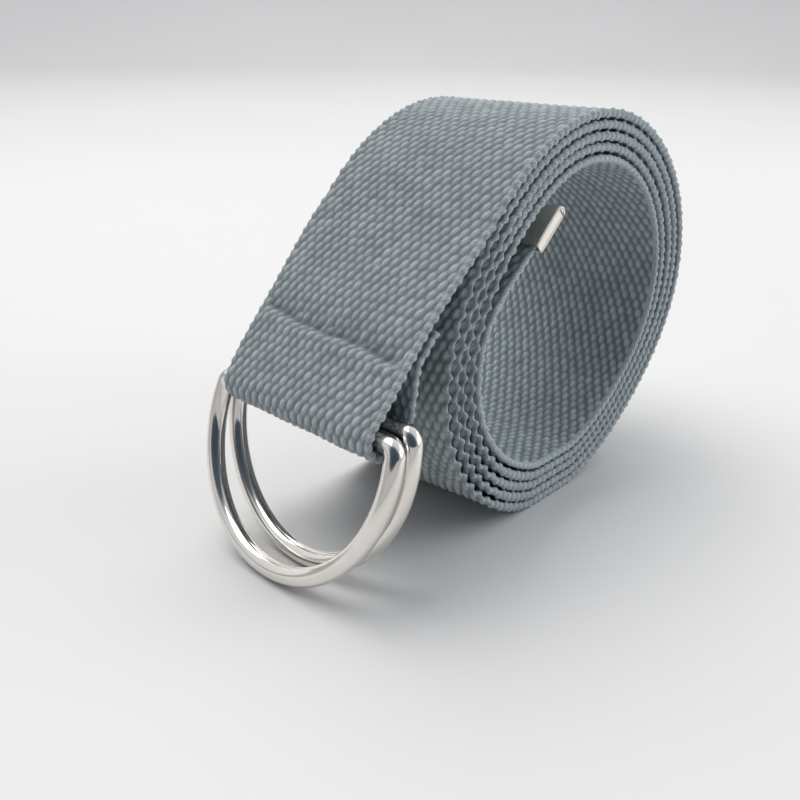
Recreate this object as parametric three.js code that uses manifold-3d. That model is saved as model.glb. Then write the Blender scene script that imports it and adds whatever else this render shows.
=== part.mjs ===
// A double ring belt: cotton webbing rolled up and standing on its edge-wise laps.
// Its outer end folds round the bars of two D-rings, and a metal tip closes its inner end.
// Millimetres, +Z up. X runs along the roll's side, from the rings to the back of the roll,
// and Y runs across the webbing, from the near selvedge to the far one.
import * as THREE from 'three';
import { mergeVertices } from 'three/addons/utils/BufferGeometryUtils.js';
import Module from 'manifold-3d';

// The webbing
const webbingWidth = 38;
const webbingThickness = 1.6;
const selvedgeTaper = 0.8;

// The roll: its opening, its laps, and how it leans and rests
const openingRadius = 28;
const lapCount = 5;
const innerEndAngle = 131;
const leaveAngle = 139;
const rollLean = 0.07;
const rollPinch = 0.018;
const restingFlat = 0.985;
const innerEndLift = 3.3;
const innerEndLiftAngle = 50;
const lapStepAngle = 6;

// Each side of the roll: how far the inner lap stands from the centre, as a share of the
// opening's radius, and the air between two laps there, as a share of the webbing's thickness.
const rollSides = {
  right: { reach: 1.035, air: 0.62 },
  top: { reach: 0.955, air: 0.19 },
  left: { reach: 0.982, air: 0.3 },
  bottom: { reach: 0.89, air: 0.19 },
};

// How far each lap has crept sideways in the roll, as a share of the webbing's width.
const lapCreep = [
  { lap: 0, creep: 0 },
  { lap: 1, creep: -0.01 },
  { lap: 2, creep: 0.009 },
  { lap: 3, creep: -0.012 },
  { lap: 4, creep: 0.01 },
  { lap: 5, creep: 0 },
];

// The metal tip on the inner end
const tipLength = 9;
const tipSheet = 0.4;
const tipFit = 0.3;
const tongueThickness = 0.9;

// The D-rings: round wire, a straight bar and a bow of more than half a circle
const wireDiameter = 3.3;
const bowRadius = 22;
const ringDepth = 27.7;
const cornerRadius = 2.2;
const wireSides = 12;
const frontRingLean = 18.7;

// The fold that holds the two bars, and the row of stitches that closes it
const loopClearance = 0.35;
const barGap = 0.6;
const barTilt = 33.3;
const foldNarrowing = 0.3;
const foldSkew = 4.8;
const closingAngle = 34;
const layerGap = 0.3;
const seamWidth = 1.2;
const seamMargin = 2.5;
const seamSink = 0.5;
const tailLength = 5;
const runStep = 3;

const metal = new THREE.MeshStandardMaterial({ color: 0xc9c7c2, roughness: 0.16, metalness: 1 });
const tipMetal = new THREE.MeshStandardMaterial({ color: 0xbdb6a6, roughness: 0.3, metalness: 1 });
const cotton = new THREE.MeshStandardMaterial({ color: 0x7d8a8e, roughness: 0.95, metalness: 0 });

const wireRadius = wireDiameter / 2;
const barOffset = wireRadius + loopClearance + webbingThickness / 2;
const barSpacing = wireDiameter + barGap;

const wasm = await Module();
wasm.setup();

// Small vector helpers for the plane of the roll
const radians = (degrees) => THREE.MathUtils.degToRad(degrees);
const point = (x, z) => ({ x, z });
const along = (start, way, distance) =>
  point(start.x + way.x * distance, start.z + way.z * distance);
const direction = (from, to) => {
  const length = Math.hypot(to.x - from.x, to.z - from.z);
  return point((to.x - from.x) / length, (to.z - from.z) / length);
};
const outward = (travel) => point(travel.z, -travel.x);

// Closed meshes to solids for the joins and cuts, and back
function toSolid(geometry) {
  const bare = geometry.clone();
  bare.deleteAttribute('normal');
  bare.deleteAttribute('uv');
  const merged = mergeVertices(bare);
  return new wasm.Manifold(new wasm.Mesh({
    numProp: 3,
    vertProperties: Float32Array.from(merged.attributes.position.array),
    triVerts: Uint32Array.from(merged.index.array),
  }));
}

function toGeometry(solid) {
  const mesh = solid.getMesh();
  const geometry = new THREE.BufferGeometry();
  geometry.setAttribute('position', new THREE.BufferAttribute(mesh.vertProperties, 3));
  geometry.setIndex(new THREE.BufferAttribute(mesh.triVerts, 1));
  return geometry;
}

// Skins a list of sections, each a closed ring of points, into one closed mesh.
function skinSections(sections, closed) {
  const count = sections[0].length;
  const positions = sections.flat().flatMap((p) => [p.x, p.y, p.z]);
  const indices = [];
  const spans = closed ? sections.length : sections.length - 1;
  for (let i = 0; i < spans; i += 1) {
    const here = i * count;
    const next = ((i + 1) % sections.length) * count;
    for (let k = 0; k < count; k += 1) {
      const turn = (k + 1) % count;
      indices.push(here + k, next + k, next + turn);
      indices.push(here + k, next + turn, here + turn);
    }
  }
  if (!closed) {
    const last = (sections.length - 1) * count;
    for (let k = 1; k < count - 1; k += 1) {
      indices.push(0, k, k + 1);
      indices.push(last, last + k + 1, last + k);
    }
  }
  const geometry = new THREE.BufferGeometry();
  geometry.setAttribute('position', new THREE.Float32BufferAttribute(positions, 3));
  geometry.setIndex(indices);
  return geometry;
}

// The roll: four quarter ellipses to a lap, growing with every turn
function lapReach(side, turns) {
  const pitch = webbingThickness * (1 + side.air);
  return side.reach * openingRadius + webbingThickness / 2 + pitch * turns;
}

// The bottom of the lap that an angle belongs to: every lap is pressed flat there.
function lapFloor(angle) {
  const bottomAngle = 360 * Math.round((angle - 270) / 360) + 270;
  return lapReach(rollSides.bottom, (bottomAngle - innerEndAngle) / 360) * restingFlat;
}

const rollHeight = lapFloor(360 * lapCount - 90) + webbingThickness / 2;

function rollPoint(angle) {
  const turns = (angle - innerEndAngle) / 360;
  const cos = Math.cos(radians(angle));
  const sin = Math.sin(radians(angle));
  const diagonal = Math.sin(radians(2 * angle));
  const shape = 1 + rollLean * diagonal - rollPinch * diagonal * diagonal;
  const across = lapReach(cos > 0 ? rollSides.right : rollSides.left, turns);
  const upright = lapReach(sin > 0 ? rollSides.top : rollSides.bottom, turns);
  const x = across * cos * shape;
  const z = Math.max(upright * sin * shape, -lapFloor(angle));
  const liftTurn = Math.min(1, (angle - innerEndAngle) / innerEndLiftAngle);
  const lift = innerEndLift * Math.cos(radians(90 * liftTurn)) ** 2;
  const inward = 1 - lift / Math.hypot(x, z);
  return point(x * inward, z * inward + rollHeight);
}

function creepAt(angle) {
  const turns = Math.min((angle - innerEndAngle) / 360, lapCount);
  const lap = Math.min(Math.floor(turns), lapCreep.length - 2);
  const blend = THREE.MathUtils.smoothstep(turns, lap, lap + 1);
  const creep = THREE.MathUtils.lerp(lapCreep[lap].creep, lapCreep[lap + 1].creep, blend);
  return creep * webbingWidth;
}

const endAngle = 360 * lapCount + leaveAngle;
const angleNudge = 0.01;
const innerEnd = rollPoint(innerEndAngle);
const innerWay = direction(innerEnd, rollPoint(innerEndAngle + angleNudge));
const leavePoint = rollPoint(endAngle);
const runWay = direction(rollPoint(endAngle - angleNudge), leavePoint);
const runOut = outward(runWay);

// The bars of the two rings: the front ring stands on the surface and holds the fold up.
// The rear ring's bar lies next to it, towards the roll and deeper inside the fold.
const frontBarHeight = ringDepth * Math.cos(radians(frontRingLean)) + wireRadius;
const barRun = (frontBarHeight + runOut.z * barOffset - leavePoint.z) / runWay.z;
const frontBar = along(along(leavePoint, runWay, barRun), runOut, -barOffset);
const barRise = barSpacing * Math.sin(radians(barTilt));
const barReach = barSpacing * Math.cos(radians(barTilt));
const rearBar = along(along(frontBar, runWay, -barReach), runOut, -barRise);
const rearRingDrop = Math.min(1, (rearBar.z - wireRadius) / ringDepth);
const rearRingLean = THREE.MathUtils.radToDeg(Math.acos(rearRingDrop));

// The fold: along the run, round both bars, and back up under the run
const foldClimb = 2 * barOffset + barRise - webbingThickness - layerGap;
const turnClimb = barOffset * (1 - Math.cos(radians(closingAngle)));
const closingLength = (foldClimb - turnClimb) / Math.sin(radians(closingAngle));
const closedRun = barRun - barReach - barOffset * Math.sin(radians(closingAngle))
  - closingLength * Math.cos(radians(closingAngle));
const seamRun = closedRun - seamWidth;
const tailEndRun = seamRun - tailLength;

function arcRound(centre, fromTurn, toTurn, steps) {
  const points = [];
  for (let i = 0; i <= steps; i += 1) {
    const turn = radians(THREE.MathUtils.lerp(fromTurn, toTurn, i / steps));
    const edge = along(centre, runOut, barOffset * Math.cos(turn));
    points.push(along(edge, runWay, barOffset * Math.sin(turn)));
  }
  return points;
}

// The strap's centre line, with its thickness and place across the belt at each station
function strapStations() {
  const stations = [];
  const tongueLength = tipLength - tipSheet - tipFit;
  const full = { thickness: webbingThickness, half: webbingWidth / 2, creep: 0, skew: 0 };
  stations.push({ ...full, ...along(innerEnd, innerWay, -tongueLength), thickness: tongueThickness });
  stations.push({ ...full, ...innerEnd, thickness: tongueThickness });
  const lapStations = Math.round((endAngle - innerEndAngle) / lapStepAngle);
  for (let i = 1; i <= lapStations; i += 1) {
    const angle = THREE.MathUtils.lerp(innerEndAngle, endAngle, i / lapStations);
    stations.push({ ...full, ...rollPoint(angle), creep: creepAt(angle) });
  }
  const runStations = Math.max(2, Math.round(barRun / runStep));
  for (let i = 1; i < runStations; i += 1) {
    const run = (barRun * i) / runStations;
    const skew = foldSkew * THREE.MathUtils.smoothstep(run, 0, Math.max(seamRun, runStep));
    stations.push({ ...full, ...along(leavePoint, runWay, run), skew });
  }
  const fold = { ...full, half: webbingWidth / 2 - foldNarrowing, skew: foldSkew };
  const closedUnder = along(along(leavePoint, runWay, closedRun), runOut,
    -(webbingThickness + layerGap));
  const lowerTurn = 180 - barTilt;
  arcRound(frontBar, 0, lowerTurn, 12).forEach((p) => stations.push({ ...fold, ...p }));
  arcRound(rearBar, lowerTurn, 180 + closingAngle, 4)
    .forEach((p) => stations.push({ ...fold, ...p }));
  stations.push({ ...fold, ...closedUnder });
  stations.push({ ...fold, ...along(closedUnder, runWay, tailEndRun - closedRun) });
  return stations;
}

function ribbonSection(station, normal) {
  const { half } = station;
  const rise = station.thickness / 2;
  const flat = half - selvedgeTaper;
  const outline = [[-half, 0], [-flat, -rise], [flat, -rise], [half, 0], [flat, rise], [-flat, rise]];
  return outline.map(([across, height]) => ({
    x: station.x + normal.x * height + Math.tan(radians(station.skew)) * across,
    y: across + station.creep,
    z: station.z + normal.z * height,
  }));
}

function stationNormal(stations, i) {
  const before = direction(stations[Math.max(i - 1, 0)], stations[i === 0 ? 1 : i]);
  const after = direction(stations[i === stations.length - 1 ? i - 1 : i],
    stations[Math.min(i + 1, stations.length - 1)]);
  const mean = direction(point(0, 0), point(before.x + after.x, before.z + after.z));
  const mitre = mean.x * after.x + mean.z * after.z;
  const normal = outward(mean);
  return point(normal.x / mitre, normal.z / mitre);
}

// The stitched row is a narrow bar of thread and cloth that joins the two layers.
function seamSolid() {
  const depth = layerGap + 2 * seamSink;
  const width = webbingWidth - 2 * seamMargin;
  const row = new THREE.BoxGeometry(seamWidth, width, depth);
  const under = along(leavePoint, runWay, seamRun);
  const middle = along(under, runOut, -(webbingThickness + layerGap) / 2);
  const shear = new THREE.Matrix4();
  shear.set(1, Math.tan(radians(foldSkew)), 0, 0, 0, 1, 0, 0, 0, 0, 1, 0, 0, 0, 0, 1);
  row.rotateY(Math.atan2(-runWay.z, runWay.x));
  row.applyMatrix4(shear);
  row.translate(middle.x, 0, middle.z);
  return toSolid(row);
}

function webbingStrap() {
  const stations = strapStations();
  const sections = stations.map((s, i) => ribbonSection(s, stationNormal(stations, i)));
  const strap = new THREE.Mesh(
    toGeometry(toSolid(skinSections(sections, false)).add(seamSolid())),
    cotton,
  );
  strap.name = 'webbing_strap';
  return strap;
}

// The tip is a folded metal cap: a flat box with a pocket for the strap's pressed end.
function beltTip() {
  const pocketHeight = tongueThickness + 2 * tipFit;
  const pocketWidth = webbingWidth + 2 * tipFit;
  const outer = new THREE.BoxGeometry(tipLength, pocketWidth + 2 * tipSheet, pocketHeight + 2 * tipSheet);
  const pocket = new THREE.BoxGeometry(tipLength, pocketWidth, pocketHeight);
  pocket.translate(tipSheet, 0, 0);
  const tip = new THREE.Mesh(toGeometry(toSolid(outer).subtract(toSolid(pocket))), tipMetal);
  const middle = along(innerEnd, innerWay, -tipLength / 2);
  tip.position.set(middle.x, 0, middle.z);
  tip.rotation.y = Math.atan2(-innerWay.z, innerWay.x);
  tip.name = 'belt_tip';
  return tip;
}

// The ring's centre line, bar on Y at the origin and bow hanging below it
function ringPath() {
  const bowDrop = ringDepth - bowRadius;
  const reach = bowRadius - cornerRadius;
  const barHalf = Math.sqrt(reach ** 2 - (bowDrop - cornerRadius) ** 2);
  const cornerTurn = Math.acos((cornerRadius - bowDrop) / -reach);
  const path = [];
  const addArc = (centreY, centreZ, radius, from, to, steps) => {
    for (let i = 0; i <= steps; i += 1) {
      const turn = THREE.MathUtils.lerp(from, to, i / steps);
      path.push(new THREE.Vector3(0, centreY + radius * Math.sin(turn), centreZ + radius * Math.cos(turn)));
    }
  };
  const cornerSteps = 5;
  const bowSteps = 30;
  const bowNudge = (Math.PI - cornerTurn) / bowSteps;
  addArc(barHalf, -cornerRadius, cornerRadius, 0, cornerTurn, cornerSteps);
  addArc(0, -bowDrop, bowRadius, cornerTurn + bowNudge, 2 * Math.PI - cornerTurn - bowNudge, bowSteps);
  addArc(-barHalf, -cornerRadius, cornerRadius, 2 * Math.PI - cornerTurn, 2 * Math.PI, cornerSteps);
  return path;
}

function wireSections(path) {
  return path.map((p, i) => {
    const before = path[(i + path.length - 1) % path.length];
    const after = path[(i + 1) % path.length];
    const inTravel = p.clone().sub(before).normalize();
    const outTravel = after.clone().sub(p).normalize();
    const travel = inTravel.clone().add(outTravel).normalize();
    const mitre = travel.dot(outTravel);
    const sideways = new THREE.Vector3(0, travel.z, -travel.y);
    const section = [];
    for (let k = 0; k < wireSides; k += 1) {
      const turn = (2 * Math.PI * k) / wireSides;
      const edge = p.clone().addScaledVector(sideways, (wireRadius * Math.cos(turn)) / mitre);
      edge.x += wireRadius * Math.sin(turn);
      section.push(edge);
    }
    return section;
  });
}

function dRing(name, bar, lean) {
  const ring = new THREE.Mesh(skinSections(wireSections(ringPath()), true), metal);
  ring.rotation.y = radians(lean);
  ring.name = name;
  const hanger = new THREE.Group();
  hanger.position.set(bar.x, 0, bar.z);
  hanger.rotation.z = -radians(foldSkew);
  hanger.add(ring);
  return hanger;
}

// The whole belt, with its origin under the middle of its box
const belt = new THREE.Group();
belt.add(webbingStrap());
belt.add(beltTip());
belt.add(dRing('d_ring_front', frontBar, frontRingLean));
belt.add(dRing('d_ring_rear', rearBar, rearRingLean));
const box = new THREE.Box3().setFromObject(belt, true);
const middle = box.getCenter(new THREE.Vector3());
belt.position.set(-middle.x, -middle.y, -box.min.z);

export default belt;
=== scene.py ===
import math

import bpy
import numpy as np
from mathutils import Matrix, Vector


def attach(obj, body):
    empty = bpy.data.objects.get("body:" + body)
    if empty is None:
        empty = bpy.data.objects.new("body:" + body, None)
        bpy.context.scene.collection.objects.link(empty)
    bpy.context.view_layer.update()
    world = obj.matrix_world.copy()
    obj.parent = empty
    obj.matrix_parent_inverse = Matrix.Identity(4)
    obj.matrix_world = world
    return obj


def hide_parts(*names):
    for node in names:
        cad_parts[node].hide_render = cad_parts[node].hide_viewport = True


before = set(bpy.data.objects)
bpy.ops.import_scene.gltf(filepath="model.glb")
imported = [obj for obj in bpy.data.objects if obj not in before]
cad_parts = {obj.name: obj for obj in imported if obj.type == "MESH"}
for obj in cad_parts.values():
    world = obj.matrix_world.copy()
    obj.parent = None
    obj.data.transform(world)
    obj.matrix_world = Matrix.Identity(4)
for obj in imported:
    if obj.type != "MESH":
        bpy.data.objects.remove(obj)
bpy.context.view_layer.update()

MM = 0.001

# The belt's sizes in millimetres and degrees, as in the part. X lies in the roll's plane, Y across
# the webbing and Z up. Angles turn about the roll's centre and grow from lap to lap.
WIDTH = 38.0
THICK = 1.6
OPENING_RADIUS = 28.0
LAPS = 5
INNER_ANGLE = 131.0
LEAVE_ANGLE = 139.0
LEAN = 0.07
PINCH = 0.018
RESTING_FLAT = 0.985
END_LIFT = 3.3
END_LIFT_SPAN = 50.0

# For each side of the roll: its radius as a share of the opening's, and the air between two laps
# as a share of the webbing's thickness
SIDES = {
    "right": (1.035, 0.62),
    "top": (0.955, 0.19),
    "left": (0.982, 0.3),
    "bottom": (0.89, 0.19),
}

# How far the webbing has crept across at each full turn, as a share of its width
CREEP = (0, -0.003, 0.003, -0.004, 0.003, 0)

# The two D-rings
WIRE = 3.3
WIRE_RADIUS = WIRE / 2
WIRE_SIDES = 40
BOW = 22.0
DEPTH = 27.7
CORNER = 2.2
FRONT_LEAN = 18.7
BAR_GAP = 0.6
BAR_TILT = 33.3

# The fold round the rings' bars, the seam and the tail
LOOP_CLEARANCE = 0.35
FOLD_SKEW = 4.8
FOLD_NARROWING = 0.3
FOLD_EASE = 5
CLOSING = 34.0
LAYER_GAP = 0.3
SEAM_WIDTH = 1.2
TAIL = 5.0

# The metal tip, and the pressed end of the webbing inside it
TIP_LENGTH = 9.0
TIP_SHEET = 0.4
TIP_FIT = 0.3
TONGUE = 0.9
TONGUE_LENGTH = TIP_LENGTH - TIP_SHEET - TIP_FIT
# Where the pressed end swells to the webbing's full thickness, from the tip's mouth
SWELL_FROM = TONGUE_LENGTH - 1.0
SWELL_FULL = TONGUE_LENGTH + 3.5

# Steps of the centre line, in mm along it and in degrees round the roll
LINE_STEP = 0.1
RUN_STEP = 0.25
ROLL_STEP = 0.5

# What the photograph shows and the part leaves plain: the seam a little further down the run, and
# the run's slight bulge
SEAM_SHIFT = 2.0
RUN_BULGE = 0.7

# Where the roll's centre lies in the part's frame
CENTRE_X = 9.369
CENTRE_Y = -0.124

# The camera's place in mm, and its turns in degrees. Its focal length is in pixels of the photograph.
CAMERA_SPOT = (-138.82, -104.79, 86.94)
CAMERA_YAW = 49.07
CAMERA_PITCH = 22.08
CAMERA_ROLL = 0.49
CAMERA_FOCAL = 946.6
PHOTO_WIDTH = 800
SENSOR_WIDTH = 36

# The weave: columns across the width, one period along it, and how each face's rows slant
COLUMNS = 40
PITCH = WIDTH / COLUMNS
PERIOD = 3.44
SLANT_OUT = -0.115
SLANT_IN = 0.085
# Where the laps' edges meet in a net on the roll's left, and what a lap adds to its whole periods there
NET_ANGLE = 195
LAP_OFFSET = 0.83
# One grain, in mm from its middle; it leans by its tilt and falls off past its rim
GRAIN_TILT = 0.18
GRAIN_HALF_WIDTH = 0.68
GRAIN_HALF_LENGTH = 0.97
GRAIN_FALL = 0.5
GRAIN_ROUNDNESS = 1.45
# How much grains differ: in place along and across, in size and in height
GRAIN_STRAY_ALONG = 0.36
GRAIN_STRAY_ACROSS = 0.2
GRAIN_SIZE_LEAST = 0.88
GRAIN_SIZE_SPREAD = 0.2
GRAIN_SIZE_INSIDE = 0.92
GRAIN_HEIGHT_LEAST = 0.95
GRAIN_HEIGHT_SPREAD = 0.05
# Height of the valleys between grains above the middle of the cloth
VALLEY = 0.38

# The two edge yarns. Their middles lie this far from the middle of the webbing.
EDGE_RADIUS = 0.5
EDGE_MIDDLE = WIDTH / 2 - EDGE_RADIUS - 0.02
# Where the face passes into the edge yarn, from the middle of the webbing
EDGE_FROM = WIDTH / 2 - 1.35
EDGE_FULL = WIDTH / 2 - 0.95
# Half its height, and what it loses or gains along the strap
EDGE_BODY = 0.86
EDGE_BODY_LESS_ON_LEFT = 0.44
EDGE_BODY_LESS_ON_FIRST_LAP = 0.16
EDGE_BODY_LESS_ON_RUN = 0.18
EDGE_BODY_MORE_LOW_LEFT = 0.14
# What its body loses towards the face, and how it swells between the dips
EDGE_BODY_LESS_INSIDE = 0.2
EDGE_BODY_MEAN = 0.85
EDGE_BODY_SWING = 0.15
# Height of its wave, and the shares that it loses along the strap
EDGE_WAVE = 0.1
EDGE_WAVE_MORE_ON_LEFT = 0.38
EDGE_WAVE_LOSS_ON_FIRST_LAP = 0.7
EDGE_WAVE_LOSS_LOW_LEFT = 0.45
EDGE_WAVE_FAR_SHARE = 0.5
# The roll's left, as distances from its centre, and its lower left, as an angle and its spread
LEFT_FROM = 17
LEFT_FULL = 30
LOW_LEFT = 238
LOW_LEFT_SPREAD = 17
# Painted light on the edge yarn's colour, from 0 to 1: lighter on the near edge than the far one, and
# lightest on the innermost lap
EDGE_PAINTED_LIGHT_NEAR = 0.56
EDGE_PAINTED_LIGHT_FAR = 0.36
EDGE_PAINTED_LIGHT_SWING = 0.26
EDGE_PAINTED_LIGHT_FIRST_LAP = 0.86
# How deep the edge draws in between the weft's turns, and how far from it this reaches
SCALLOP_DEPTH = 0.11
SCALLOP_FROM = WIDTH / 2 - 1.2
SCALLOP_FULL = WIDTH / 2 - 0.2
# Points of the edge yarn's round, from the middle of the webbing
EDGE_SPOTS = WIDTH / 2 - np.array([0.78, 0.6, 0.42, 0.24, 0.09])
FACE_MARGIN = 0.93
BRINK = WIDTH / 2 - 0.01

# The crease that the row of stitches pulls: its slant and depth, how far it eases off up and down
# the run, and one stitch's length
CREASE_SLANT = 0.068
CREASE_PULL = 1.0
CREASE_PULL_INSIDE = 0.3
CREASE_ABOVE = 2.6
CREASE_BELOW = 0.75
STITCH = 2.9
STITCH_MEAN = 0.85
STITCH_SWING = 0.15
# The cloth puffs up on both sides of the crease: height, place from the crease and spread
PUFF_BELOW = 0.45
PUFF_BELOW_AT = 2.0
PUFF_BELOW_SPREAD = 1.6
PUFF_ABOVE = 0.1
PUFF_ABOVE_AT = -6.5
PUFF_ABOVE_SPREAD = 2.6
# Painted shade: how much the colour darkens above the crease, and along the line of the crease itself
SHADE = 0.62
SHADE_ABOVE = 2.2
CREASE_LINE_SHADE = 0.6
CREASE_LINE_SHADE_SPREAD = 0.42
CREASE_SHADE_MOST = 0.95
# It ends short of the edge yarns.
CREASE_EDGE_NONE = 0.8
CREASE_EDGE_FULL = 3.2

# Angles at which the strap's pieces meet, and the steps of their meshes
INNER_LEFT_END = 235
INNER_RIGHT_END = 492
MIDDLE_END = 1560
OUTER_LEFT_END = 1710
OUTER_RIGHT_END = 1855
FINE_STEP = PERIOD / 10
COARSE_STEP = PERIOD / 8

# The floor in metres: a flat disc that sweeps up into a low rim
FLOOR_INNER_RINGS = (0.05, 0.6)
FLOOR_FLAT = 1.5
FLOOR_SWEEP = 0.65
FLOOR_RIM_TURN = 70
FLOOR_SIDES = 96


def unit(v):
    return v / np.linalg.norm(v)


def turned(travel):
    return np.array([travel[1], -travel[0]])


def smooth_step(value, low, high):
    t = np.clip((value - low) / (high - low), 0, 1)
    return t * t * (3 - 2 * t)


def bell(value, middle, spread):
    return np.exp(-((value - middle) / spread) ** 2)


# The roll
def reach(side, turns):
    """The roll's radius on one side, after so many turns of webbing."""
    share, air = SIDES[side]
    return share * OPENING_RADIUS + THICK / 2 + THICK * (1 + air) * turns


def lap_floor(angle):
    """How far below the roll's centre the lap at this angle is pressed flat."""
    bottom = 360 * math.floor((angle - 270) / 360 + 0.5) + 270
    return reach("bottom", (bottom - INNER_ANGLE) / 360) * RESTING_FLAT


ROLL_HEIGHT = lap_floor(360 * LAPS - 90) + THICK / 2


def roll_point(angle):
    """X and Z of the rolled webbing's centre line."""
    turns = (angle - INNER_ANGLE) / 360
    cos = math.cos(math.radians(angle))
    sin = math.sin(math.radians(angle))
    diagonal = math.sin(math.radians(2 * angle))
    shape = 1 + LEAN * diagonal - PINCH * diagonal * diagonal
    x = reach("right" if cos > 0 else "left", turns) * cos * shape
    z = max(reach("top" if sin > 0 else "bottom", turns) * sin * shape, -lap_floor(angle))
    lift = END_LIFT * math.cos(math.radians(90 * min(1, (angle - INNER_ANGLE) / END_LIFT_SPAN))) ** 2
    inward = 1 - lift / math.hypot(x, z)
    return np.array([x * inward, z * inward + ROLL_HEIGHT])


def creep_at(angle):
    turns = min((angle - INNER_ANGLE) / 360, LAPS)
    lap = min(int(turns), len(CREEP) - 2)
    blend = min(max(turns - lap, 0), 1)
    blend = blend * blend * (3 - 2 * blend)
    return (CREEP[lap] * (1 - blend) + CREEP[lap + 1] * blend) * WIDTH


# The run that leaves the roll, the two bars and the fold round them
ANGLE_NUDGE = 0.01
END_ANGLE = 360 * LAPS + LEAVE_ANGLE
BAR_OFFSET = WIRE_RADIUS + LOOP_CLEARANCE + THICK / 2
BAR_SPACING = WIRE + BAR_GAP
LEAVE = roll_point(END_ANGLE)
RUN_WAY = unit(LEAVE - roll_point(END_ANGLE - ANGLE_NUDGE))
RUN_OUT = turned(RUN_WAY)
FRONT_Z = DEPTH * math.cos(math.radians(FRONT_LEAN)) + WIRE_RADIUS
BAR_RUN = (FRONT_Z + RUN_OUT[1] * BAR_OFFSET - LEAVE[1]) / RUN_WAY[1]
FRONT_BAR = LEAVE + RUN_WAY * BAR_RUN - RUN_OUT * BAR_OFFSET
BAR_REACH = BAR_SPACING * math.cos(math.radians(BAR_TILT))
BAR_RISE = BAR_SPACING * math.sin(math.radians(BAR_TILT))
REAR_BAR = FRONT_BAR - RUN_WAY * BAR_REACH - RUN_OUT * BAR_RISE
REAR_LEAN = math.degrees(math.acos(min(1, (REAR_BAR[1] - WIRE_RADIUS) / DEPTH)))
CLOSING_SIN = math.sin(math.radians(CLOSING))
CLOSING_COS = math.cos(math.radians(CLOSING))
FOLD_CLIMB = 2 * BAR_OFFSET + BAR_RISE - THICK - LAYER_GAP
CLOSING_LENGTH = (FOLD_CLIMB - BAR_OFFSET * (1 - CLOSING_COS)) / CLOSING_SIN
CLOSED_RUN = BAR_RUN - BAR_REACH - BAR_OFFSET * CLOSING_SIN - CLOSING_LENGTH * CLOSING_COS
SEAM_RUN = CLOSED_RUN - SEAM_WIDTH
TAIL_END_RUN = SEAM_RUN - TAIL


def place_camera():
    yaw = math.radians(CAMERA_YAW)
    pitch = math.radians(CAMERA_PITCH)
    roll = math.radians(CAMERA_ROLL)
    forward = Vector((math.sin(yaw) * math.cos(pitch), math.cos(yaw) * math.cos(pitch), -math.sin(pitch)))
    right = Vector((math.cos(yaw), -math.sin(yaw), 0))
    up = right.cross(forward)
    across = right * math.cos(roll) + up * math.sin(roll)
    upright = up * math.cos(roll) - right * math.sin(roll)
    data = bpy.data.cameras.new("camera")
    data.sensor_width = SENSOR_WIDTH
    data.lens = CAMERA_FOCAL / PHOTO_WIDTH * SENSOR_WIDTH
    data.clip_start = 0.005
    data.clip_end = 20
    camera = bpy.data.objects.new("camera", data)
    bpy.context.scene.collection.objects.link(camera)
    turn = Matrix((across, upright, -forward)).transposed().to_4x4()
    camera.matrix_world = Matrix.Translation(Vector(np.array(CAMERA_SPOT) * MM)) @ turn
    bpy.context.scene.camera = camera


# The strap's centre line
def arc(centre, start, stop, count):
    turns = np.radians(np.linspace(start, stop, count))
    outward = RUN_OUT * BAR_OFFSET
    onward = RUN_WAY * BAR_OFFSET
    return [centre + outward * math.cos(t) + onward * math.sin(t) for t in turns]


def straight(start, stop, count):
    return [start + (stop - start) * k for k in np.linspace(0, 1, count)[1:]]


def softened(values):
    """A gentle blur along the line, which keeps its ends in place."""
    half = 18
    spread = 7.0
    weights = np.exp(-0.5 * (np.arange(-half, half + 1) / spread) ** 2)
    weights /= weights.sum()
    return np.convolve(np.pad(values, half, mode="reflect", reflect_type="odd"), weights, "valid")


def centre_line():
    """Evenly spaced points of the centre line: x, z, creep across, skew and share of the fold."""
    rows = []
    start = roll_point(INNER_ANGLE)
    way = unit(roll_point(INNER_ANGLE + ANGLE_NUDGE) - start)
    for back in np.linspace(-TONGUE_LENGTH, -0.2, 20):
        rows.append((*(start + way * back), 0.0, 0.0, 0.0))
    for angle in np.arange(INNER_ANGLE, END_ANGLE, ROLL_STEP):
        rows.append((*roll_point(angle), creep_at(angle), 0.0, 0.0))
    for run in np.arange(0, BAR_RUN, RUN_STEP):
        skew = FOLD_SKEW * smooth_step(run, 0, SEAM_RUN)
        bulge = RUN_BULGE * math.sin(math.pi * run / BAR_RUN)
        fold = smooth_step(run, BAR_RUN - FOLD_EASE, BAR_RUN)
        rows.append((*(LEAVE + RUN_WAY * run + RUN_OUT * bulge), 0.0, skew, fold))
    lower = 180 - BAR_TILT
    under = LEAVE + RUN_WAY * CLOSED_RUN - RUN_OUT * (THICK + LAYER_GAP)
    tail_end = under + RUN_WAY * (TAIL_END_RUN - CLOSED_RUN)
    folded = arc(FRONT_BAR, 0, lower, 30)[1:] + arc(REAR_BAR, lower, 180 + CLOSING, 14)
    folded += straight(folded[-1], under, 30)
    folded += straight(under, tail_end, 24)
    for place in folded:
        rows.append((*place, 0.0, FOLD_SKEW, 1.0))
    table = np.array(rows)
    length = np.r_[0, np.cumsum(np.linalg.norm(np.diff(table[:, :2], axis=0), axis=1))]
    spots = np.arange(0, length[-1], LINE_STEP)
    columns = [np.interp(spots, length, table[:, k]) for k in range(5)]
    return spots, np.stack([softened(column) for column in columns[:4]] + columns[4:], 1)


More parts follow.
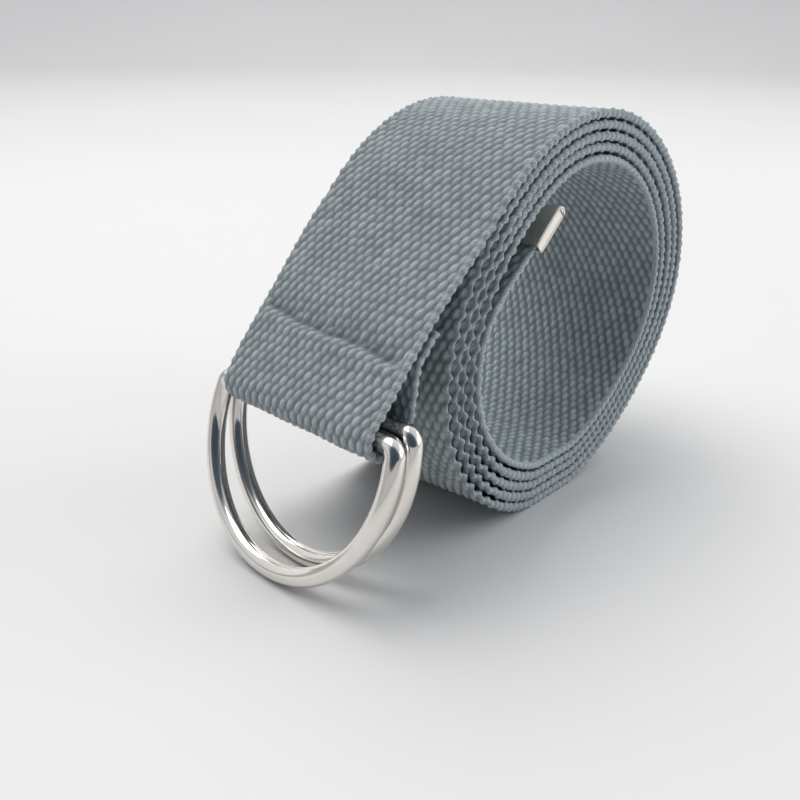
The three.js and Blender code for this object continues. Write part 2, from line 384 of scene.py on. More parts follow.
SPOTS, LINE = centre_line()
TRAVEL = np.gradient(LINE[:, :2], axis=0)
TRAVEL /= np.linalg.norm(TRAVEL, axis=1)[:, None]
NORMAL = np.stack([TRAVEL[:, 1], -TRAVEL[:, 0]], 1)
ROLL_ANGLES = np.arange(INNER_ANGLE, END_ANGLE, ROLL_STEP)
ROLL_POINTS = np.array([roll_point(angle) for angle in ROLL_ANGLES])
ROLL_CHORDS = np.linalg.norm(np.diff(ROLL_POINTS, axis=0), axis=1)
ROLL_LENGTHS = np.r_[0, np.cumsum(ROLL_CHORDS)] + TONGUE_LENGTH


def length_at(angle):
    """The length along the strap at an angle of the roll."""
    return float(np.interp(angle, ROLL_ANGLES, ROLL_LENGTHS))


RUN_START = float(ROLL_LENGTHS[-1])
SEAM_SPOT = RUN_START + SEAM_RUN
STRAP_END = float(SPOTS[-1])
# Where the smooth edge of the innermost lap passes into the others' wavy one
FIRST_LAP_END = length_at(430)
SECOND_LAP_START = length_at(500)
# Where the edge yarn of the last lap calms down and slims as it leaves the roll
CALM_FROM = RUN_START - 4
CALM_FULL = RUN_START + 6
SLIM_FROM = RUN_START - 6
SLIM_FULL = RUN_START + 2


def weave_cycles():
    """The weft count along the strap, set so that the laps' edges meet in a net on the roll's left."""
    beyond = 100
    marks = [length_at(NET_ANGLE + 360 * lap) for lap in range(LAPS)]
    counts = [0.0]
    for before, after in zip(marks, marks[1:]):
        counts.append(counts[-1] + round((after - before) / PERIOD - LAP_OFFSET) + LAP_OFFSET)
    marks = [marks[0] - beyond * PERIOD] + marks + [marks[-1] + beyond * PERIOD]
    counts = [counts[0] - beyond] + counts + [counts[-1] + beyond]
    return np.array(marks), np.array(counts)


CYCLE_MARKS, CYCLE_COUNTS = weave_cycles()


def cycles_at(spots):
    return np.interp(spots, CYCLE_MARKS, CYCLE_COUNTS)


def along_strap(values):
    """The centre line and its normal at lengths along the strap, by name."""
    columns = {
        "x": LINE[:, 0],
        "z": LINE[:, 1],
        "creep": LINE[:, 2],
        "skew": LINE[:, 3],
        "fold": LINE[:, 4],
        "nx": NORMAL[:, 0],
        "nz": NORMAL[:, 1],
    }
    got = {name: np.interp(values, SPOTS, column) for name, column in columns.items()}
    size = np.hypot(got["nx"], got["nz"])
    got["nx"] /= size
    got["nz"] /= size
    return got


# The weave's relief
def lattice_noise(column, row, seed):
    """A repeatable number from 0 to 1 for each grain."""
    value = np.sin(column * 127.1 + row * 311.7 + seed * 74.7) * 43758.5453
    return value - np.floor(value)


def first_lap(spots):
    """1 on the innermost lap, whose edge lies smooth and carries more painted light; 0 further out."""
    return 1 - smooth_step(spots, FIRST_LAP_END, SECOND_LAP_START)


def edge_phase(spots, side):
    """The turn of the edge yarn's wave; side is 1 on the far edge and -1 on the near one."""
    column = COLUMNS - 1 if side > 0 else 0
    return 2 * np.pi * (cycles_at(spots + SLANT_OUT * side * EDGE_MIDDLE) + 0.5 * (column % 2))


def edge_painted_light(phase, first, side):
    """Painted light on the edge yarn's colour, lighter on its bumps, with painted shade in the dips between
    them.
    """
    middle = EDGE_PAINTED_LIGHT_FAR if side > 0 else EDGE_PAINTED_LIGHT_NEAR
    return (middle + EDGE_PAINTED_LIGHT_SWING * np.cos(2 * phase)) * (1 - first) + EDGE_PAINTED_LIGHT_FIRST_LAP * first


def scallop(spots, across, side):
    """How far the edge draws in between the weft's turns, in mm."""
    near = smooth_step(across * side, SCALLOP_FROM, SCALLOP_FULL)
    return side * SCALLOP_DEPTH * (1 - np.cos(2 * edge_phase(spots, side))) * near


def edge_shape(spots, side):
    """Half height and wave height of the edge yarn: slimmer and wavier on the roll's left."""
    x = np.interp(spots, SPOTS, LINE[:, 0])
    z = np.interp(spots, SPOTS, LINE[:, 1]) - ROLL_HEIGHT
    turn = np.degrees(np.arctan2(z, x)) % 360
    low_left = bell(turn, LOW_LEFT, LOW_LEFT_SPREAD) * (spots < RUN_START)
    left = smooth_step(-x, LEFT_FROM, LEFT_FULL) * (1 - smooth_step(spots, CALM_FROM, CALM_FULL))
    on_run = smooth_step(spots, SLIM_FROM, SLIM_FULL)
    first = first_lap(spots)
    body = EDGE_BODY - EDGE_BODY_LESS_ON_LEFT * left * (1 - first)
    body = body - EDGE_BODY_LESS_ON_FIRST_LAP * first
    body = body - EDGE_BODY_LESS_ON_RUN * on_run
    body = body + EDGE_BODY_MORE_LOW_LEFT * low_left * (1 - first)
    wave = (EDGE_WAVE + EDGE_WAVE_MORE_ON_LEFT * left) * (1 - EDGE_WAVE_LOSS_ON_FIRST_LAP * first)
    wave = wave * (1 - EDGE_WAVE_LOSS_LOW_LEFT * low_left)
    if side > 0:
        wave = wave * EDGE_WAVE_FAR_SHARE
    return body, wave


def grains(s, w, face):
    """How much of a grain lies at each place, from 0 to 1, and the tone of that grain."""
    slant = SLANT_OUT if face > 0 else SLANT_IN
    half_step = 0.0 if face > 0 else 0.5
    size = 1 if face > 0 else GRAIN_SIZE_INSIDE
    column = np.floor((w + WIDTH / 2) / PITCH)
    share = np.zeros(np.broadcast_shapes(s.shape, w.shape))
    tone = np.full_like(share, 0.5)
    for step in (-1, 0, 1):
        j = column + step
        inside = (j >= 1) & (j <= COLUMNS - 2)
        middle = -WIDTH / 2 + (j + 0.5) * PITCH
        cycles = cycles_at(s + slant * middle) + 0.5 * np.mod(j, 2) + half_step
        row = np.floor(cycles + 0.5)
        along = (cycles - row) * PERIOD + (lattice_noise(j, row, 1 - face) - 0.5) * GRAIN_STRAY_ALONG
        sideways = w - middle - GRAIN_TILT * along
        sideways = sideways + (lattice_noise(j, row, 3 - face) - 0.5) * GRAIN_STRAY_ACROSS
        plump = (GRAIN_SIZE_LEAST + GRAIN_SIZE_SPREAD * lattice_noise(j, row, 5)) * size
        dome = 1 - (sideways / (GRAIN_HALF_WIDTH * plump)) ** 2 - np.abs(along / GRAIN_HALF_LENGTH) ** 2.2
        dome = np.clip((dome + GRAIN_FALL) / (1 + GRAIN_FALL), 0, 1) ** GRAIN_ROUNDNESS * inside
        better = dome > share
        share = np.where(better, dome, share)
        tone = np.where(better, np.broadcast_to(lattice_noise(j, row, 6), dome.shape), tone)
    return share, tone


def weave(spots, across, face):
    """Height above the middle of the cloth, grain share (on the edge yarns, their painted light) and grain
    tone, at each place.

    face is 1 on the side that looks out of the roll and -1 on the side that looks in."""
    s = spots[:, None]
    w = across[None, :]
    share, tone = grains(s, w, face)
    top = THICK / 2 * (GRAIN_HEIGHT_LEAST + GRAIN_HEIGHT_SPREAD * tone)
    height = VALLEY + (top - VALLEY) * share
    # The two edge yarns run over and under the weft in a wave of their own.
    for side in (-1, 1):
        phase = edge_phase(s, side)
        body, wave = edge_shape(s, side)
        out = (w * side - EDGE_MIDDLE) / EDGE_RADIUS
        outer_cap = np.sqrt(np.clip(1 - out ** 2, 0, 1))
        inner_cap = 1 - EDGE_BODY_LESS_INSIDE * np.clip(out, -1, 0) ** 2
        cap = np.where(out > 0, outer_cap, inner_cap)
        swell = EDGE_BODY_MEAN + EDGE_BODY_SWING * np.cos(2 * phase)
        tube = face * wave * np.cos(phase) + body * cap * swell
        near = smooth_step(w * side, EDGE_FROM, EDGE_FULL)
        height = height * (1 - near) + tube * near
        # The edge yarns' colour takes their painted light and painted shade.
        share = share * (1 - near) + edge_painted_light(phase, first_lap(s), side) * near
    return height, share, tone


def crease(spots, across):
    """How far the row of stitches pulls the cloth in, how far it puffs beside it, and how much painted
    shade lies on and above it.
    """
    w = across[None, :]
    long_wander = 0.3 * np.sin(w * 0.24 + 0.2)
    short_wander = 0.12 * np.sin(w * 0.9 + 1)
    past = spots[:, None] - (SEAM_SPOT + SEAM_SHIFT - CREASE_SLANT * w + long_wander + short_wander)
    above = np.exp(-np.abs(np.minimum(past, 0) / CREASE_ABOVE) ** 1.3)
    below = bell(np.maximum(past, 0), 0, CREASE_BELOW)
    stitches = STITCH_MEAN + STITCH_SWING * np.cos(w * 2 * np.pi / STITCH)
    pull = CREASE_PULL * above * below * stitches
    puff = PUFF_BELOW * bell(past, PUFF_BELOW_AT, PUFF_BELOW_SPREAD)
    puff = puff + PUFF_ABOVE * bell(past, PUFF_ABOVE_AT, PUFF_ABOVE_SPREAD)
    # Painted shade: the colour darkens above the crease, where the cloth turns from the light, and along
    # its groove.
    dark = SHADE * np.exp(np.minimum(past, 0) / SHADE_ABOVE) * below
    dark = dark + CREASE_LINE_SHADE * bell(past, 0, CREASE_LINE_SHADE_SPREAD)
    inside = smooth_step(WIDTH / 2 - np.abs(w), CREASE_EDGE_NONE, CREASE_EDGE_FULL)
    return pull * inside, puff * inside, np.clip(dark, 0, CREASE_SHADE_MOST) * inside


def face_places(per_column):
    """Places across one face, from the near edge yarn to the far one, so many to a column."""
    first = -WIDTH / 2 + FACE_MARGIN
    count = int(round(-2 * first / PITCH * per_column))
    return np.linspace(first, -first, count + 1)


def hidden_face_places():
    """Places across a face of which only the edges show."""
    first = -WIDTH / 2 + FACE_MARGIN
    near_edge = np.linspace(first, first + PITCH * 2.2, 7)
    return np.r_[near_edge, -near_edge[::-1]]


def ribbon_columns(spots, outer, inner, path):
    """Every point's rise, place across, share, tone, flat place across and face, round the section."""
    pressed = smooth_step(spots, SWELL_FROM, SWELL_FULL)
    pressed = (TONGUE / THICK + (1 - TONGUE / THICK) * pressed)[:, None]
    narrowed = (1 - path["fold"] * FOLD_NARROWING / (WIDTH / 2))[:, None]
    on_run = (spots > RUN_START)[:, None]
    wide_out = np.r_[-EDGE_SPOTS[::-1], outer, EDGE_SPOTS]
    wide_in = np.r_[EDGE_SPOTS[::-1], inner[::-1], -EDGE_SPOTS]
    columns = []
    for face, wide in ((1, wide_out), (-1, wide_in)):
        height, share, tone = weave(spots, wide, face)
        pull, puff, dark = crease(spots, wide)
        rise = height * face * pressed
        if face > 0:
            rise = rise - pull * on_run + puff * on_run
            # The crease's painted shade darkens the outer face's colour on the run.
            share = share * (1 - dark * on_run)
        else:
            rise = rise - CREASE_PULL_INSIDE * pull * on_run
        drawn_in = sum(scallop(spots[:, None], wide[None, :], side) for side in (-1, 1))
        columns.append((
            rise,
            (wide[None, :] - drawn_in) * narrowed,
            share,
            tone,
            np.broadcast_to(wide, rise.shape),
            np.full_like(rise, face),
        ))
        # Each face's row ends in the outermost point of one edge: the far one outside, the near one inside.
        phase = edge_phase(spots, face)
        middle = (edge_shape(spots, face)[1] * np.cos(phase))[:, None] * pressed
        brink = face * BRINK
        # This row's colour takes the edge yarn's painted light.
        columns.append((
            middle,
            (brink - scallop(spots, brink, face))[:, None] * narrowed,
            edge_painted_light(phase, first_lap(spots), face)[:, None],
            np.full_like(middle, 0.5),
            np.full_like(middle, face * WIDTH / 2),
            np.full_like(middle, face),
        ))
    return [np.concatenate([column[k] for column in columns], 1) for k in range(6)]


def ribbon(name, start, stop, step, outer, inner, mat, cut_ends=()):
    """A length of the strap, both faces and both selvedges, as one mesh.

    cut_ends names those of its ends, start or end, at which the webbing is really cut."""
    count = max(2, int(round((stop - start) / step)) + 1)
    spots = np.linspace(start, stop, count)
    path = along_strap(spots)
    rise, wide, share, tone, flat, face_of = ribbon_columns(spots, outer, inner, path)
    ring = rise.shape[1]
    x = path["x"][:, None] + path["nx"][:, None] * rise + np.tan(np.radians(path["skew"]))[:, None] * wide
    y = wide + path["creep"][:, None]
    z = path["z"][:, None] + path["nz"][:, None] * rise
    points = np.stack([x + CENTRE_X, y + CENTRE_Y, z], 2).reshape(-1, 3) * MM
    i = np.arange(count - 1)[:, None] * ring
    k = np.arange(ring)[None, :]
    k2 = (k + 1) % ring
    quads = np.stack([i + k, i + k2, i + ring + k2, i + ring + k], 2).reshape(-1, 4)
    loops = quads.ravel()
    starts = np.arange(0, len(quads) * 4, 4)
    for end in cut_ends:
        cut = np.arange(ring)[::-1] if end == "start" else (count - 1) * ring + np.arange(ring)
        starts = np.r_[starts, len(loops)]
        loops = np.r_[loops, cut]
    mesh = bpy.data.meshes.new(name)
    mesh.vertices.add(len(points))
    mesh.vertices.foreach_set("co", points.ravel())
    mesh.loops.add(len(loops))
    mesh.loops.foreach_set("vertex_index", loops.astype(np.int32))
    mesh.polygons.add(len(starts))
    mesh.polygons.foreach_set("loop_start", starts.astype(np.int32))
    mesh.update(calc_edges=True)
    mesh.polygons.foreach_set("use_smooth", np.ones(len(starts), dtype=bool))
    # One unit of the cloth's UV map is 10 mm of flat webbing.
    uv = np.stack([flat, np.broadcast_to(spots[:, None], flat.shape)], 2).reshape(-1, 2) * 0.1
    layer = mesh.uv_layers.new(name="cloth")
    layer.data.foreach_set("uv", uv[loops].ravel())
    # The relief attribute holds the grain share, which carries the painted shade and painted light of the
    # cloth's colour, the grain's tone and the face, 1 outside and 0 inside.
    paint = mesh.color_attributes.new("relief", "FLOAT_COLOR", "POINT")
    shade = np.stack([share, tone, (face_of + 1) / 2, np.ones_like(share)], 2).reshape(-1)
    paint.data.foreach_set("color", shade)
    mesh.materials.append(mat)
    mesh.validate()
    piece = bpy.data.objects.new(name, mesh)
    bpy.context.scene.collection.objects.link(piece)
    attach(piece, "strap")
    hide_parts("webbing_strap")
    return piece


# Materials
def new_material(name):
    mat = bpy.data.materials.new(name)
    mat.use_nodes = True
    nodes, links = mat.node_tree.nodes, mat.node_tree.links
    nodes.clear()
    out = nodes.new("ShaderNodeOutputMaterial")
    shader = nodes.new("ShaderNodeBsdfPrincipled")
    links.new(shader.outputs[0], out.inputs[0])
    return mat, nodes, links, shader


def ramp(nodes, stops):
    node = nodes.new("ShaderNodeValToRGB")
    elements = node.color_ramp.elements
    while len(elements) < len(stops):
        elements.new(0.5)
    for element, (place, colour) in zip(elements, stops):
        element.position = place
        element.color = (*colour, 1)
    return node


def noise_texture(nodes, scale, detail, roughness=0.5):
    node = nodes.new("ShaderNodeTexNoise")
    node.inputs["Scale"].default_value = scale
    node.inputs["Detail"].default_value = detail
    node.inputs["Roughness"].default_value = roughness
    return node


def bump_map(nodes, links, shader, height, strength, distance):
    bump = nodes.new("ShaderNodeBump")
    bump.inputs["Strength"].default_value = strength
    bump.inputs["Distance"].default_value = distance
    links.new(height, bump.inputs["Height"])
    links.new(bump.outputs[0], shader.inputs["Normal"])


def cotton():
    mat, nodes, links, shader = new_material("grey_blue_cotton")

    def scaled(value, low, high):
        node = nodes.new("ShaderNodeMapRange")
        node.inputs["To Min"].default_value = low
        node.inputs["To Max"].default_value = high
        links.new(value, node.inputs["Value"])
        return node.outputs[0]

    def product(a, b):
        node = nodes.new("ShaderNodeMath")
        node.operation = "MULTIPLY"
        links.new(a, node.inputs[0])
        links.new(b, node.inputs[1])
        return node.outputs[0]

    def tinted(colour, by):
        node = nodes.new("ShaderNodeMix")
        node.data_type = "RGBA"
        node.blend_type = "MULTIPLY"
        node.inputs["Factor"].default_value = 1
        links.new(colour, node.inputs["A"])
        links.new(by, node.inputs["B"])
        return node.outputs["Result"]

    relief = nodes.new("ShaderNodeAttribute")
    relief.attribute_name = "relief"
    parts = nodes.new("ShaderNodeSeparateColor")
    links.new(relief.outputs["Color"], parts.inputs[0])
    share, grain_tone, face = parts.outputs[0], parts.outputs[1], parts.outputs[2]
    # Painted shade: the colour runs from dark in the hollows between the grains, where shade falls, to
    # light on their tops
    base = ramp(nodes, [
        (0.0, (0.175, 0.202, 0.213)),
        (0.22, (0.25, 0.284, 0.296)),
        (0.55, (0.345, 0.385, 0.399)),
        (1.0, (0.425, 0.47, 0.485)),
    ])
    links.new(share, base.inputs[0])
    place = nodes.new("ShaderNodeTexCoord")
    yarn = nodes.new("ShaderNodeMapping")
    yarn.inputs["Rotation"].default_value = (0, 0, math.radians(24))
    yarn.inputs["Scale"].default_value = (10, 10, 10)
    links.new(place.outputs["UV"], yarn.inputs[0])
    # Ply lines of the twisted yarn, which lie aslant
    ply = nodes.new("ShaderNodeTexWave")
    ply.wave_type = "BANDS"
    ply.bands_direction = "X"
    ply.inputs["Scale"].default_value = 0.95
    ply.inputs["Distortion"].default_value = 3.0
    ply.inputs["Detail"].default_value = 2.0
    ply.inputs["Detail Scale"].default_value = 2.2
    links.new(yarn.outputs[0], ply.inputs[0])
    fuzz = noise_texture(nodes, 5500, 4, 0.7)
    links.new(place.outputs["Object"], fuzz.inputs["Vector"])
    patch = noise_texture(nodes, 130, 3)
    links.new(place.outputs["Object"], patch.inputs["Vector"])
    tone = product(scaled(grain_tone, 0.9, 1.1), scaled(patch.outputs["Fac"], 0.86, 1.14))
    tone = product(tone, scaled(ply.outputs["Fac"], 0.84, 1.14))
    tone = product(tone, scaled(fuzz.outputs["Fac"], 0.8, 1.2))
    # The side that looks into the roll is a shade bluer, and is also painted a little lighter to stand in
    # for light that falls less into the roll.
    inner_side_tint_and_painted_light = ramp(nodes, [(0.0, (1.03, 1.05, 1.075)), (1.0, (1.0, 1.0, 1.0))])
    links.new(face, inner_side_tint_and_painted_light.inputs[0])
    colour = tinted(tinted(base.outputs[0], tone), inner_side_tint_and_painted_light.outputs[0])
    links.new(colour, shader.inputs["Base Color"])
    height = nodes.new("ShaderNodeMath")
    height.operation = "MULTIPLY_ADD"
    height.inputs[1].default_value = 0.7
    links.new(fuzz.outputs["Fac"], height.inputs[0])
    links.new(ply.outputs["Fac"], height.inputs[2])
    bump_map(nodes, links, shader, height.outputs[0], 0.55, 0.00009)
    shader.inputs["Roughness"].default_value = 0.95
    shader.inputs["Specular IOR Level"].default_value = 0.2
    shader.inputs["Sheen Weight"].default_value = 0.12
    shader.inputs["Sheen Roughness"].default_value = 0.6
    shader.inputs["Sheen Tint"].default_value = (0.8, 0.86, 0.9, 1)
    return mat


def polished(name, colour, roughness, wear):
    """Bright metal; wear is how much rougher its smears are."""
    mat, nodes, links, shader = new_material(name)
    place = nodes.new("ShaderNodeTexCoord")
    smear = noise_texture(nodes, 160, 5, 0.6)
    links.new(place.outputs["Object"], smear.inputs["Vector"])
    rough = nodes.new("ShaderNodeMapRange")
    rough.inputs["From Min"].default_value = 0.35
    rough.inputs["From Max"].default_value = 0.75
    rough.inputs["To Min"].default_value = roughness
    rough.inputs["To Max"].default_value = roughness + wear
    links.new(smear.outputs["Fac"], rough.inputs["Value"])
    links.new(rough.outputs[0], shader.inputs["Roughness"])
    tint = ramp(nodes, [(0.3, tuple(part * 0.9 for part in colour)), (0.7, colour)])
    links.new(smear.outputs["Fac"], tint.inputs[0])
    links.new(tint.outputs[0], shader.inputs["Base Color"])
    fine = noise_texture(nodes, 900, 3)
    links.new(place.outputs["Object"], fine.inputs["Vector"])
    bump_map(nodes, links, shader, fine.outputs["Fac"], 0.06, 0.00006)
    shader.inputs["Metallic"].default_value = 1
    return mat


# The strap, in lengths that each carry only the detail that shows
def strap():
    mat = cotton()
    fine = face_places(5)
    middling = face_places(4)
    medium = face_places(3)
    edges = hidden_face_places()
    inner_left_end = length_at(INNER_LEFT_END)
    inner_right_end = length_at(INNER_RIGHT_END)
    middle_end = length_at(MIDDLE_END)
    outer_left_end = length_at(OUTER_LEFT_END)
    outer_right_end = length_at(OUTER_RIGHT_END)
    ribbon("strap_inner_lap_left", 0.0, inner_left_end, COARSE_STEP, edges, middling, mat, ["start"])
    ribbon("strap_inner_lap_right", inner_left_end, inner_right_end, FINE_STEP, edges, fine, mat)
    ribbon("strap_middle_laps", inner_right_end, middle_end, COARSE_STEP, edges, edges, mat)
    ribbon("strap_outer_lap_left", middle_end, outer_left_end, COARSE_STEP, medium, edges, mat)
    ribbon("strap_outer_lap_right", outer_left_end, outer_right_end, COARSE_STEP, medium, edges, mat)
    ribbon("strap_outer_lap_front", outer_right_end, RUN_START, FINE_STEP, fine, edges, mat)
    ribbon("strap_run_and_fold", RUN_START, STRAP_END, FINE_STEP, fine, medium, mat, ["end"])


# The rings
def ring_path(bar, lean):
    """The ring's centre line, its bar on the fold's skew and its bow hanging with the lean."""
    drop = DEPTH - BOW
    radius = BOW - CORNER
    bar_half = math.sqrt(radius ** 2 - (drop - CORNER) ** 2)
    corner_turn = math.acos((CORNER - drop) / -radius)
    far_turn = 2 * math.pi - corner_turn
    flat = []
    for y in np.linspace(-bar_half, bar_half, 40)[1:-1]:
        flat.append((y, 0.0))
    for t in np.linspace(0, corner_turn, 22):
        flat.append((bar_half + CORNER * math.sin(t), -CORNER + CORNER * math.cos(t)))
    for t in np.linspace(corner_turn, far_turn, 150)[1:-1]:
        flat.append((BOW * math.sin(t), -drop + BOW * math.cos(t)))
    for t in np.linspace(far_turn, 2 * math.pi, 22):
        flat.append((-bar_half + CORNER * math.sin(t), -CORNER + CORNER * math.cos(t)))
    tilt = Matrix.Rotation(math.radians(lean), 4, "Y")
    skew = Matrix.Rotation(-math.radians(FOLD_SKEW), 4, "Z")
    middle = Vector((bar[0] + CENTRE_X, CENTRE_Y, bar[1]))
    return [(skew @ tilt @ Vector((0, y, z))) + middle for y, z in flat], skew @ tilt @ Vector((1, 0, 0))


def ring(name, node, body, bar, lean, mat):
    path, side = ring_path(bar, lean)
    count = len(path)
    points = []
    for i, middle in enumerate(path):
        travel = (path[(i + 1) % count] - path[i - 1]).normalized()
        across = side.cross(travel).normalized()
        for k in range(WIRE_SIDES):
            turn = 2 * math.pi * k / WIRE_SIDES
            outward = middle + side * WIRE_RADIUS * math.cos(turn)
            points.append((outward + across * WIRE_RADIUS * math.sin(turn)) * MM)
    faces = []
    for i in range(count):
        here = i * WIRE_SIDES
        there = (i + 1) % count * WIRE_SIDES
        for k in range(WIRE_SIDES):
            k2 = (k + 1) % WIRE_SIDES
            faces.append((here + k, here + k2, there + k2, there + k))
    mesh = bpy.data.meshes.new(name)
    mesh.from_pydata(points, [], faces)
    mesh.polygons.foreach_set("use_smooth", [True] * len(faces))
    mesh.materials.append(mat)
    piece = bpy.data.objects.new(name, mesh)
    bpy.context.scene.collection.objects.link(piece)
    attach(piece, body)
    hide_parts(node)


# The belt's tip. Its sheet is bent round a fold of this radius, and its lips bite into the webbing.
TIP_BEND = TONGUE / 2 + TIP_FIT + TIP_SHEET / 2
TIP_HALF_WIDTH = WIDTH / 2 + TIP_FIT + TIP_SHEET
LIP_BITE = 0.16
LIP_SHARE = 0.22
LIP_POINTS = 14
RIM_SHARE = 0.55
END_PLATE_INSET = 0.14
SHARP_EDGE = 50


def tip_profile():
    """The bent sheet's centre line: along the tip, and up from the middle of the webbing."""
    profile = []
    for k in np.linspace(0, 1, LIP_POINTS):
        lip = LIP_BITE * smooth_step(k, 0.0, LIP_SHARE) - LIP_BITE
        profile.append((TIP_LENGTH * (1 - k) - TIP_BEND, TIP_BEND + lip))
    profile[-1] = (0.0, TIP_BEND)
    for t in np.linspace(90, 270, 18)[1:-1]:
        profile.append((TIP_BEND * math.cos(math.radians(t)), TIP_BEND * math.sin(math.radians(t))))
    profile += [(p[0], -p[1]) for p in profile[:LIP_POINTS][::-1]]
    return np.array(profile)


def tip_stations():
    """Places across the webbing, close together where the rim rounds off."""
    half = TIP_HALF_WIDTH
    along = list(np.linspace(-half + 1.2, half - 1.2, 40))
    return [-half, -half + 0.12, -half + 0.4] + along + [half - 0.4, half - 0.12, half]


def tip(mat):
    """A strip of sheet metal bent over the strap's end, its two lips pressed on."""
    start = roll_point(INNER_ANGLE)
    way = unit(roll_point(INNER_ANGLE + ANGLE_NUDGE) - start)
    out = turned(way)
    fold = start - way * (TIP_LENGTH - TIP_BEND)
    centre = tip_profile()
    travel = np.gradient(centre, axis=0)
    travel /= np.linalg.norm(travel, axis=1)[:, None]
    normal = np.stack([travel[:, 1], -travel[:, 0]], 1)
    stations = tip_stations()
    points, faces = [], []

    def add_point(along_tip, up, y):
        spot = fold + way * along_tip + out * up
        points.append(((spot[0] + CENTRE_X) * MM, (y + CENTRE_Y) * MM, spot[1] * MM))

    for y in stations:
        at_rim = abs(abs(y) - TIP_HALF_WIDTH) <= 0.05
        half_sheet = normal * TIP_SHEET / 2 * (RIM_SHARE if at_rim else 1.0)
        dent = 0.05 * math.sin(y * 0.7) + 0.03 * math.sin(y * 1.9 + 1)
        for along_tip, up in np.concatenate([centre + half_sheet, (centre - half_sheet)[::-1]]):
            add_point(along_tip, up + dent * (1 if up > 0 else 0.4), y)
    count = len(centre)
    ring_size = 2 * count
    for i in range(len(stations) - 1):
        here, there = i * ring_size, (i + 1) * ring_size
        for k in range(ring_size):
            k2 = (k + 1) % ring_size
            faces.append((here + k, here + k2, there + k2, there + k))
    last = (len(stations) - 1) * ring_size
    for k in range(count - 1):
        faces.append((k, ring_size - 1 - k, ring_size - 2 - k, k + 1))
        faces.append((last + k, last + k + 1, last + ring_size - 2 - k, last + ring_size - 1 - k))
    # Each end is closed by a plate a little inside the rim.
    for y in (-TIP_HALF_WIDTH + END_PLATE_INSET, TIP_HALF_WIDTH - END_PLATE_INSET):
        base = len(points)
        for along_tip, up in centre:
            add_point(along_tip, up, y)
        for k in range(count // 2 - 1):
            faces.append((base + k, base + k + 1, base + count - 2 - k, base + count - 1 - k))
    mesh = bpy.data.meshes.new("tip_cap")
    mesh.from_pydata(points, [], faces)
    mesh.polygons.foreach_set("use_smooth", [True] * len(faces))
    mesh.materials.append(mat)
    mesh.validate()
    piece = bpy.data.objects.new("tip_cap", mesh)
    bpy.context.scene.collection.objects.link(piece)
    split = piece.modifiers.new("edges", "EDGE_SPLIT")
    split.split_angle = math.radians(SHARP_EDGE)
    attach(piece, "strap")
    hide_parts("belt_tip")


# Floor and light
def floor():
    """A pale round floor that rises into a low rim far out on every side."""
    profile = [(far, 0.0) for far in (*FLOOR_INNER_RINGS, FLOOR_FLAT)]
    for t in np.linspace(0, FLOOR_RIM_TURN, 12)[1:]:
        turn = math.radians(t)
        profile.append((FLOOR_FLAT + FLOOR_SWEEP * math.sin(turn), FLOOR_SWEEP * (1 - math.cos(turn))))
    points, faces = [], []
    for k in range(FLOOR_SIDES):
        turn = 2 * math.pi * k / FLOOR_SIDES
        for far, up in profile:
            points.append((far * math.cos(turn), far * math.sin(turn), up))
    rows = len(profile)
    for k in range(FLOOR_SIDES):
        here, there = k * rows, (k + 1) % FLOOR_SIDES * rows
        faces += [(here + i, here + i + 1, there + i + 1, there + i) for i in range(rows - 1)]
    faces.append([k * rows for k in range(FLOOR_SIDES)])
    mesh = bpy.data.meshes.new("floor")
    mesh.from_pydata(points, [], faces)
    mesh.polygons.foreach_set("use_smooth", [True] * len(faces))
    mat, nodes, links, shader = new_material("pale_floor")
    place = nodes.new("ShaderNodeTexCoord")
    noise = nodes.new("ShaderNodeTexNoise")
    noise.inputs["Scale"].default_value = 3
    links.new(place.outputs["Object"], noise.inputs["Vector"])
    tint = ramp(nodes, [(0.3, (0.672, 0.667, 0.665)), (0.7, (0.692, 0.687, 0.685))])
    links.new(noise.outputs["Fac"], tint.inputs[0])
    links.new(tint.outputs[0], shader.inputs["Base Color"])
    shader.inputs["Roughness"].default_value = 0.6
    mesh.materials.append(mat)
    sheet = bpy.data.objects.new("floor", mesh)
    bpy.context.scene.collection.objects.link(sheet)


def lamp(name, spot, target, size, power, colour):
    data = bpy.data.lights.new(name, "AREA")
    data.shape = "RECTANGLE"
    data.size, data.size_y = size
    data.energy = power
    data.color = colour
    light = bpy.data.objects.new(name, data)
    light.location = spot
    light.rotation_euler = (Vector(target) - Vector(spot)).to_track_quat("-Z", "Y").to_euler()
    bpy.context.scene.collection.objects.link(light)


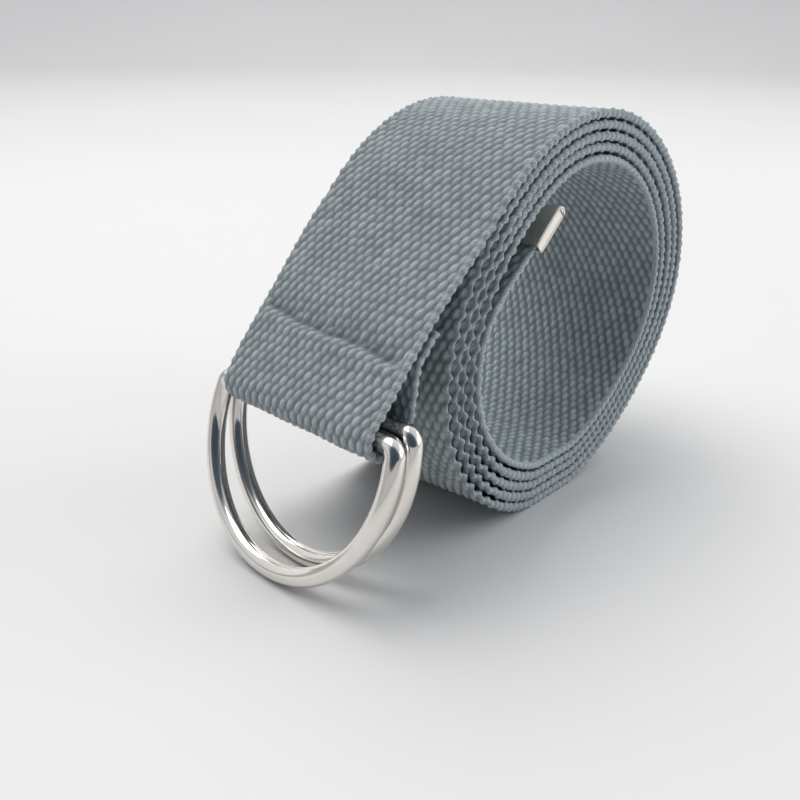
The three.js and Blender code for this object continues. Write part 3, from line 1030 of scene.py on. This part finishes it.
def lamps():
    belt = (0, 0, 0.03)
    lamp("window", (-0.08, 0.32, 0.9), belt, (0.9, 0.7), 5.4, (1.0, 0.99, 0.97))
    lamp("backdrop_light", (0.95, 0.82, 1.15), (1.15, 1.0, 0.0), (1.4, 1.0), 7.2, (1.0, 0.99, 0.98))
    lamp("fill", (0.72, -0.66, 0.4), belt, (0.9, 0.5), 3.8, (0.95, 0.98, 1.0))


def sky():
    """A pale room, with a dark part behind and a little above the camera that the rings mirror."""
    world = bpy.data.worlds.new("studio")
    world.use_nodes = True
    nodes, links = world.node_tree.nodes, world.node_tree.links
    nodes.clear()
    out = nodes.new("ShaderNodeOutputWorld")
    back = nodes.new("ShaderNodeBackground")
    place = nodes.new("ShaderNodeTexCoord")
    yaw = math.radians(CAMERA_YAW)
    toward = nodes.new("ShaderNodeVectorMath")
    toward.operation = "DOT_PRODUCT"
    toward.inputs[1].default_value = (math.sin(yaw), math.cos(yaw), -0.3)
    links.new(place.outputs["Generated"], toward.inputs[0])
    shift = nodes.new("ShaderNodeMapRange")
    shift.inputs["From Min"].default_value = -1
    shift.inputs["From Max"].default_value = 1
    links.new(toward.outputs["Value"], shift.inputs["Value"])
    tint = ramp(nodes, [
        (0.0, (0.05, 0.065, 0.09)),
        (0.14, (0.09, 0.105, 0.135)),
        (0.24, (0.62, 0.64, 0.67)),
        (0.6, (0.8, 0.8, 0.8)),
        (1.0, (0.9, 0.9, 0.89)),
    ])
    links.new(shift.outputs[0], tint.inputs[0])
    links.new(tint.outputs[0], back.inputs["Color"])
    back.inputs["Strength"].default_value = 1.08
    links.new(back.outputs[0], out.inputs[0])
    bpy.context.scene.world = world


place_camera()
strap()
nickel = polished("polished_nickel", (0.83, 0.80, 0.76), 0.07, 0.08)
ring("ring_front_wire", "d_ring_front", "front_ring", FRONT_BAR, FRONT_LEAN, nickel)
ring("ring_rear_wire", "d_ring_rear", "rear_ring", REAR_BAR, REAR_LEAN, nickel)
tip(polished("worn_nickel_sheet", (0.84, 0.8, 0.73), 0.26, 0.2))
floor()
lamps()
sky()
bpy.context.scene.view_settings.view_transform = "Standard"
